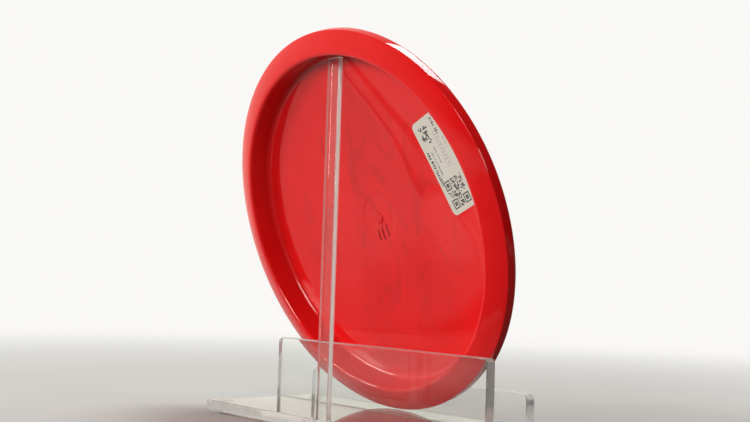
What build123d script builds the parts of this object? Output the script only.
from build123d import *
import math
import os

# Moulded flying disc leaning in a clear acrylic display stand.
# Millimetres, +Z up. The origin is on the table, under the middle of the stand's base plate.
# +X runs along the low panel. The disc's face looks towards +Y, its hollow underside towards -Y.

os.makedirs("parts", exist_ok=True)

# ---- Flying disc, in its own frame: r from its axis, h up from the plane of its lip ----
disc_diameter = 213.0
edge_diameter = 212.2        # sharp edge between the wing's underside and the outer wall
edge_height = 3.45
widest_height = 7.8
lip_diameter = 186.0         # mouth of the hollow, at the lip
wall_top_diameter = 183.8    # the inner wall narrows a little towards the plate
cavity_depth = 13.2          # rim depth, at the inner wall
plate_rise = 4.0             # how far the plate domes up between the wall and the centre
plate_thickness = 1.9
lip_flat = 2.6               # width of the lip's lowest part before the wing slopes up
wing_bulge = 0.35            # the wing's underside is very slightly convex
shoulder_diameter = 180.0    # where the flight plate runs into the nose
nose_mid = (102.4, 11.4)     # where the nose turns over into the shoulder
lip_round = 1.8
wall_fillet = 3.0
edge_round = 0.35

# Injection gate in the middle of the underside
gate_land_radius = 12.5
gate_recess = 0.15
gate_nub_radius = 2.9
gate_nub_height = 0.5
gate_cut_depth = 3.0

# Paper label on the underside, in the disc's plane (x to the right, y up the disc)
label_width = 24.0
label_length = 52.0
label_corner = 3.0
label_turn = 21.0
label_centre = (64.0, 28.7)
label_thickness = 0.15
label_band = (30.0, 88.6)    # radii between which the plate's underside carries the label

# ---- Clear acrylic stand ----
sheet = 6.0                  # base plate, low panel and front lip are cut from one sheet
base_width = 175.0
base_depth = 86.0
base_corner = 4.0
panel_height = 34.6
panel_front_y = 7.85         # face of the low panel that looks towards -Y
lip_height = 16.0
panel_corner = 3.0
edge_polish = 0.4
upright_width = 9.5
upright_thickness = 3.2
upright_front_y = -26.0      # face of the upright that looks towards -Y
upright_top_z = 197.1
upright_polish = 0.3
glue_gap = 0.05

# Stick-on bumper feet
foot_radius = 4.5
foot_height = 2.0
foot_contact_radius = 3.2
foot_inset = 9.0
foot_bulge = 0.35            # how far the foot's side bows in from its full radius...
foot_bulge_level = 0.45      # ...at this share of its height

# ---- How the disc stands ----
lean = 18.5                  # degrees from upright, its top towards -Y
rest_gap = 0.2               # clearance left between the disc and the stand where they touch
disc_centre_y = -6.75        # the shoulder then stands just clear of the front lip

lean_sin = math.sin(math.radians(lean))
lean_cos = math.cos(math.radians(lean))
base_top = foot_height + sheet
edge_reach = edge_diameter / 2 * lean_cos - edge_height * lean_sin
disc_centre = Vector(0, disc_centre_y, base_top + rest_gap + edge_reach)
disc_up = Vector(0, lean_cos, lean_sin)          # the disc's axis, out of its top face
disc_slope = Vector(0, -lean_sin, lean_cos)      # straight up the leaning disc
profile_plane = Plane(origin=disc_centre, x_dir=(1, 0, 0), z_dir=disc_slope)
underside_plane = Plane(origin=disc_centre, x_dir=(1, 0, 0), z_dir=-disc_up)
disc_axis = Axis(disc_centre, disc_up)

wall_top_radius = wall_top_diameter / 2
lip_radius = lip_diameter / 2
shoulder_radius = shoulder_diameter / 2
dome_radius = (wall_top_radius**2 + plate_rise**2) / (2 * plate_rise)
plate_under = cavity_depth + plate_rise
plate_top = plate_under + plate_thickness


def dome_drop(radius):
    """How far the domed plate has fallen at this radius, measured from its centre."""
    return dome_radius - math.sqrt(dome_radius**2 - radius**2)


def under_point(radius, below=0.0):
    """A point on the plate's underside, or a little below it."""
    return (radius, plate_under - dome_drop(radius) - below)


def top_point(radius):
    return (radius, plate_top - dome_drop(radius))


def corner_at(corners, point):
    """The corner of a profile that lies at this point."""
    return corners.sort_by_distance(Vector(*point))[0]


# ---- Disc ----
wing_start = (lip_radius + lip_flat, 0)
wing_end = (edge_diameter / 2, edge_height)
wing_middle = (
    (wing_start[0] + wing_end[0]) / 2 + wing_bulge / 2,
    (wing_start[1] + wing_end[1]) / 2 - wing_bulge,
)
widest_point = (disc_diameter / 2, widest_height)
shoulder_tangent = (-dome_radius, shoulder_radius)

with BuildPart() as flying_disc:
    with BuildSketch(profile_plane):
        with BuildLine():
            ThreePointArc(under_point(0), under_point(wall_top_radius / 2), under_point(wall_top_radius))
            Polyline(under_point(wall_top_radius), (lip_radius, 0), wing_start)
            ThreePointArc(wing_start, wing_middle, wing_end)
            TangentArc(widest_point, wing_end, tangent=(0, -1))
            Spline(widest_point, nose_mid, top_point(shoulder_radius), tangents=[(0, 1), shoulder_tangent])
            ThreePointArc(top_point(shoulder_radius), top_point(shoulder_radius / 2), top_point(0))
            Line(top_point(0), under_point(0))
        make_face()
        fillet(corner_at(vertices(), under_point(wall_top_radius)), radius=wall_fillet)
        fillet(corner_at(vertices(), (lip_radius, 0)), radius=lip_round)
        fillet(corner_at(vertices(), wing_end), radius=edge_round)
    revolve(axis=disc_axis)

    gate_face = underside_plane.offset(-(plate_under + gate_recess))
    with BuildSketch(gate_face):
        Circle(gate_land_radius)
    extrude(amount=gate_cut_depth, mode=Mode.SUBTRACT)
    with BuildSketch(gate_face):
        Circle(gate_nub_radius)
    extrude(amount=gate_nub_height)
flying_disc.part.label = "flying_disc"
export_step(flying_disc.part, "parts/flying_disc.step")

# ---- Label: a thin skin on the plate's underside, cut to a rounded rectangle ----
band_inner, band_outer = label_band
band_middle = (band_inner + band_outer) / 2

with BuildPart() as inventory_label:
    with BuildSketch(profile_plane):
        with BuildLine():
            ThreePointArc(under_point(band_inner), under_point(band_middle), under_point(band_outer))
            Line(under_point(band_outer), under_point(band_outer, label_thickness))
            ThreePointArc(
                under_point(band_outer, label_thickness),
                under_point(band_middle, label_thickness),
                under_point(band_inner, label_thickness),
            )
            Line(under_point(band_inner, label_thickness), under_point(band_inner))
        make_face()
    revolve(axis=disc_axis)
    with BuildSketch(underside_plane.offset(-plate_top)):
        with Locations(label_centre):
            RectangleRounded(label_width, label_length, label_corner, rotation=label_turn)
    extrude(amount=plate_top, mode=Mode.INTERSECT)
inventory_label.part.label = "inventory_label"
export_step(inventory_label.part, "parts/inventory_label.step")

# ---- Stand: base plate with a slot for the upright's foot ----
upright_y = upright_front_y + upright_thickness / 2

with BuildPart() as base_plate:
    with BuildSketch(Plane.XY.offset(foot_height)):
        RectangleRounded(base_width, base_depth, base_corner)
        with Locations((0, upright_y)):
            Rectangle(upright_width + 2 * glue_gap, upright_thickness + 2 * glue_gap, mode=Mode.SUBTRACT)
    extrude(amount=sheet)
    rims = base_plate.faces().filter_by(Axis.Z)
    chamfer([rim.outer_wire().edges() for rim in rims], length=edge_polish)
base_plate.part.label = "base_plate"
export_step(base_plate.part, "parts/base_plate.step")

# ---- Stand: low panel behind the disc ----
with BuildPart() as low_panel:
    with BuildSketch(Plane.XZ.offset(-panel_front_y)):
        with Locations((0, base_top + panel_height / 2)):
            Rectangle(base_width, panel_height)
        fillet(vertices().group_by(Axis.Y)[-1], radius=panel_corner)
    extrude(amount=-sheet)
    chamfer(low_panel.faces().sort_by(Axis.Z)[-1].edges().filter_by(Axis.X), length=edge_polish)
low_panel.part.label = "low_panel"
export_step(low_panel.part, "parts/low_panel.step")

# ---- Stand: front lip that keeps the disc from sliding forward ----
lip_front_y = base_depth / 2

with BuildPart() as front_lip:
    with BuildSketch(Plane.XZ.offset(-lip_front_y)):
        with Locations((0, base_top + lip_height / 2)):
            Rectangle(base_width, lip_height)
        fillet(vertices().group_by(Axis.Y)[-1], radius=panel_corner)
    extrude(amount=sheet)
    chamfer(front_lip.faces().sort_by(Axis.Z)[-1].edges().filter_by(Axis.X), length=edge_polish)
front_lip.part.label = "front_lip"
export_step(front_lip.part, "parts/front_lip.step")

# ---- Stand: upright strip, its foot glued in the base plate's slot ----
with BuildPart() as upright:
    with BuildSketch(Plane.XY.offset(foot_height)):
        with Locations((0, upright_y)):
            Rectangle(upright_width, upright_thickness)
    extrude(amount=upright_top_z - foot_height)
    chamfer(upright.edges(), length=upright_polish)
upright.part.label = "upright"
export_step(upright.part, "parts/upright.step")

# ---- Stand: four bumper feet ----
foot_spacing_x = base_width - 2 * foot_inset
foot_spacing_y = base_depth - 2 * foot_inset
foot_spots = GridLocations(foot_spacing_x, foot_spacing_y, 2, 2).locations

for number, spot in enumerate(foot_spots, start=1):
    foot_plane = Plane(origin=spot.position, x_dir=(1, 0, 0), z_dir=(0, -1, 0))
    with BuildPart() as bumper_foot:
        with BuildSketch(foot_plane):
            with BuildLine():
                Polyline((0, 0), (0, foot_height), (foot_radius, foot_height))
                ThreePointArc(
                    (foot_radius, foot_height),
                    (foot_radius - foot_bulge, foot_height * foot_bulge_level),
                    (foot_contact_radius, 0),
                )
                Line((foot_contact_radius, 0), (0, 0))
            make_face()
        revolve(axis=Axis(spot.position, (0, 0, 1)))
    bumper_foot.part.label = f"bumper_foot_{number}"
    export_step(bumper_foot.part, f"parts/bumper_foot_{number}.step")
